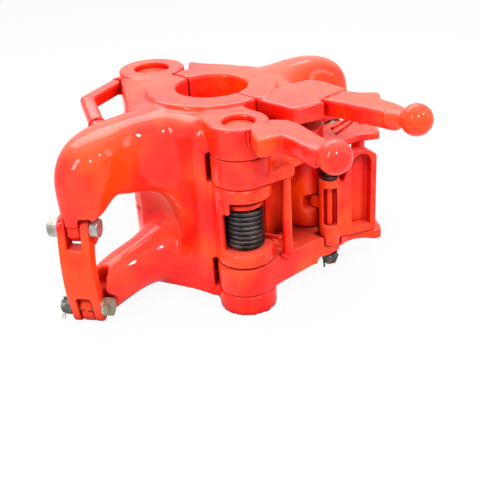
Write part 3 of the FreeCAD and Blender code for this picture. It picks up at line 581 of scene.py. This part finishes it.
outward = Vector((math.cos(leg_angle), math.sin(leg_angle), 0))
along = Vector((math.sin(leg_angle), -math.cos(leg_angle), 0))
foot = Vector((*latch_axis, spring_foot + spring_wire / 2)) + outward * spring_radius
leg = swept("latch_spring_leg", [foot - along * 0.004, foot + along * 0.02,
                                 foot + along * leg_length * 0.7,
                                 foot + along * leg_length],
            spring_wire / 2 - 0.0002, small_enamel)
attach(leg, "latch_arm")


# Bolts, nuts, washers and split pins are bought-in hardware: dull grey zinc, olive
# passivated zinc, or black oxide, handled and a little grubby.
def plating(name, light, dark, roughness=(0.32, 0.58), metallic=0.85):
    """Plated steel: cloudy tone and faint scratches."""
    return metal(name, (70.0, 6.0), dark, light, (0.33, 0.62), roughness, metallic,
                 (420.0, 0.3, 0.0002))


grey_zinc = plating("grey_zinc", (0.52, 0.50, 0.465), (0.30, 0.285, 0.255))
olive_zinc = plating("olive_zinc", (0.33, 0.29, 0.19), (0.17, 0.15, 0.10))
black_oxide = plating("black_oxide", (0.14, 0.14, 0.13), (0.035, 0.035, 0.036), (0.28, 0.5))
bronze = plating("bush_bronze", (0.52, 0.33, 0.13), (0.30, 0.19, 0.08), (0.2, 0.4), 1.0)
sides = ("left", "right")
dress([side + part for side in sides
       for part in ("_upper_bolt", "_upper_nut", "_lower_washer", "_lower_cotter")], grey_zinc)
dress([side + "_lower_bolt" for side in sides], olive_zinc)
dress([side + "_lower_nut" for side in sides]
      + ["lock_nut", "lock_washer", "lock_cotter", "hinge_pin_nut", "latch_pin_nut"], black_oxide)
dress(("stop_screw", "stop_nut"), grey_zinc)
dress(("hinge_bushes", "latch_bushes"), bronze)


# Welds show where the rear bar, the two ball handles and the latch rod were joined: rows of
# overlapping beads, laid by hand and painted over, with a little spatter on the latch.
def bead_tree():
    """Uneven beads along a path."""
    tree, given, made = group("weld_beads", [
        ("Pitch", "NodeSocketFloat", 0.002), ("Bead Radius", "NodeSocketFloat", 0.002),
        ("Finish", "NodeSocketMaterial", None)])
    path = tree.nodes.new("GeometryNodeMeshToCurve")
    wire(tree, given, "Geometry", path, "Mesh")
    points = tree.nodes.new("GeometryNodeCurveToPoints")
    points.mode = "LENGTH"
    wire(tree, path, "Curve", points, "Curve")
    wire(tree, given, "Pitch", points, "Length")
    drop = tree.nodes.new("GeometryNodeMeshIcoSphere")
    drop.inputs["Subdivisions"].default_value = 3
    wire(tree, given, "Bead Radius", drop, "Radius")
    size = tree.nodes.new("FunctionNodeRandomValue")
    size.data_type = "FLOAT_VECTOR"
    size.inputs["Min"].default_value = (0.75, 0.75, 0.75)
    size.inputs["Max"].default_value = (1.25, 1.25, 1.25)
    size.inputs["Seed"].default_value = 7
    laid = tree.nodes.new("GeometryNodeInstanceOnPoints")
    wire(tree, points, "Points", laid, "Points")
    wire(tree, drop, "Mesh", laid, "Instance")
    wire(tree, size, "Value", laid, "Scale")
    solid = tree.nodes.new("GeometryNodeRealizeInstances")
    wire(tree, laid, "Instances", solid, "Geometry")
    smooth = tree.nodes.new("GeometryNodeSetShadeSmooth")
    wire(tree, solid, "Geometry", smooth, "Geometry")
    finish = tree.nodes.new("GeometryNodeSetMaterial")
    wire(tree, smooth, "Geometry", finish, "Geometry")
    wire(tree, given, "Finish", finish, "Material")
    wire(tree, finish, "Geometry", made, "Geometry")
    return tree


def line(name, points):
    """Open path as a mesh of edges."""
    path = bpy.data.meshes.new(name)
    path.from_pydata([tuple(point) for point in points],
                     [(step, step + 1) for step in range(len(points) - 1)], [])
    return path


def ring(centre, axis, radius, start=0.0, turn=360.0, steps=24):
    """Points on an arc about an axis."""
    axis = Vector(axis).normalized()
    side = axis.cross(Vector((0, 0, 1)) if abs(axis.z) < 0.9 else Vector((1, 0, 0))).normalized()
    spots = []
    for step in range(steps + 1):
        angle = math.radians(start + turn * step / steps)
        spots.append(Vector(centre) + Matrix.Rotation(angle, 3, axis) @ side * radius)
    return spots


beads = bead_tree()


def weld(name, points, bead, body):
    """Painted row of beads along points, carried by one body."""
    seam = grown(name, beads, {"Pitch": bead * 1.1, "Bead Radius": bead, "Finish": small_enamel},
                 line(name + "_path", points))
    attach(seam, body)


bar_radius = 0.0155
bar_end, bar_axis = (-0.0725, 0.2056, 0.348), (-0.130, -0.0507, 0.001)
bar_foot, bar_foot_axis = (-0.2135, 0.080, 0.334), (0.048, 0.104, 0.018)
seam_low, seam_high = 0.339, 0.367
left_seam = (-0.1122, -0.2200)
right_seam = (0.0745, -0.2135)
right_root, right_root_top = -0.2130, 0.3674
upright = (0, 0, 1)
weld("rear_bar_weld", ring(bar_end, bar_axis, bar_radius), 0.0032, "root")
weld("rear_bar_foot_weld", ring(bar_foot, bar_foot_axis, bar_radius), 0.0028, "root")
weld("left_handle_weld", [(*left_seam, seam_low), (*left_seam, seam_high)], 0.0033, "root")
weld("right_handle_weld", [(0.0760, right_root, right_root_top),
                           (0.1380, right_root, right_root_top)], 0.0036, "right_half")
weld("right_handle_side_weld", [(*right_seam, seam_low), (*right_seam, seam_high)], 0.0034,
     "right_half")
weld("rod_foot_weld", ring((rod[0], rod[1] + 0.001, 0.0966), upright, 0.0118), 0.0026,
     "latch_arm")
weld("rod_head_weld", ring((*rod, 0.2550), upright, 0.0098), 0.0020, "latch_arm")
weld("ledge_weld", [(-0.0580, -0.2150, 0.2780), (-0.0180, -0.2120, 0.2780)], 0.0028, "latch_arm")
weld("ledge_spatter", [(-0.0560, -0.2240, 0.2765), (-0.0400, -0.2262, 0.2768),
                       (-0.0225, -0.2308, 0.2765)], 0.0021, "latch_arm")


# Two flat ribs stand on the latch's top plate beside the stop screw. They were cut from bar
# and welded down.
def flat_rib(name, start, end, width, height, body):
    """Bar with softened edges from one point to another on a flat face."""
    start, end = Vector(start), Vector(end)
    run = end - start
    work = bmesh.new()
    bmesh.ops.create_cube(work, size=1.0)
    bmesh.ops.scale(work, vec=(run.length, width, height), verts=work.verts)
    bmesh.ops.bevel(work, geom=work.edges, offset=height * 0.28, segments=3, affect="EDGES",
                    profile=0.6)
    shape = bpy.data.meshes.new(name)
    work.to_mesh(shape)
    work.free()
    turn = Matrix.Rotation(math.atan2(run.y, run.x), 4, "Z")
    shape.transform(Matrix.Translation((start + end) / 2) @ turn)
    shape.materials.append(small_enamel)
    shape.polygons.foreach_set("use_smooth", [True] * len(shape.polygons))
    rib = bpy.data.objects.new(name, shape)
    scene.collection.objects.link(rib)
    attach(rib, body)


plate_face = 0.2835
rib_width, rib_height = 0.005, 0.007
for name, start, end in (("outer_rib", (0.1284, -0.2016), (0.1958, -0.1838)),
                         ("inner_rib", (0.1425, -0.1780), (0.2050, -0.1680))):
    flat_rib(name, (*start, plate_face), (*end, plate_face), rib_width, rib_height, "latch_arm")
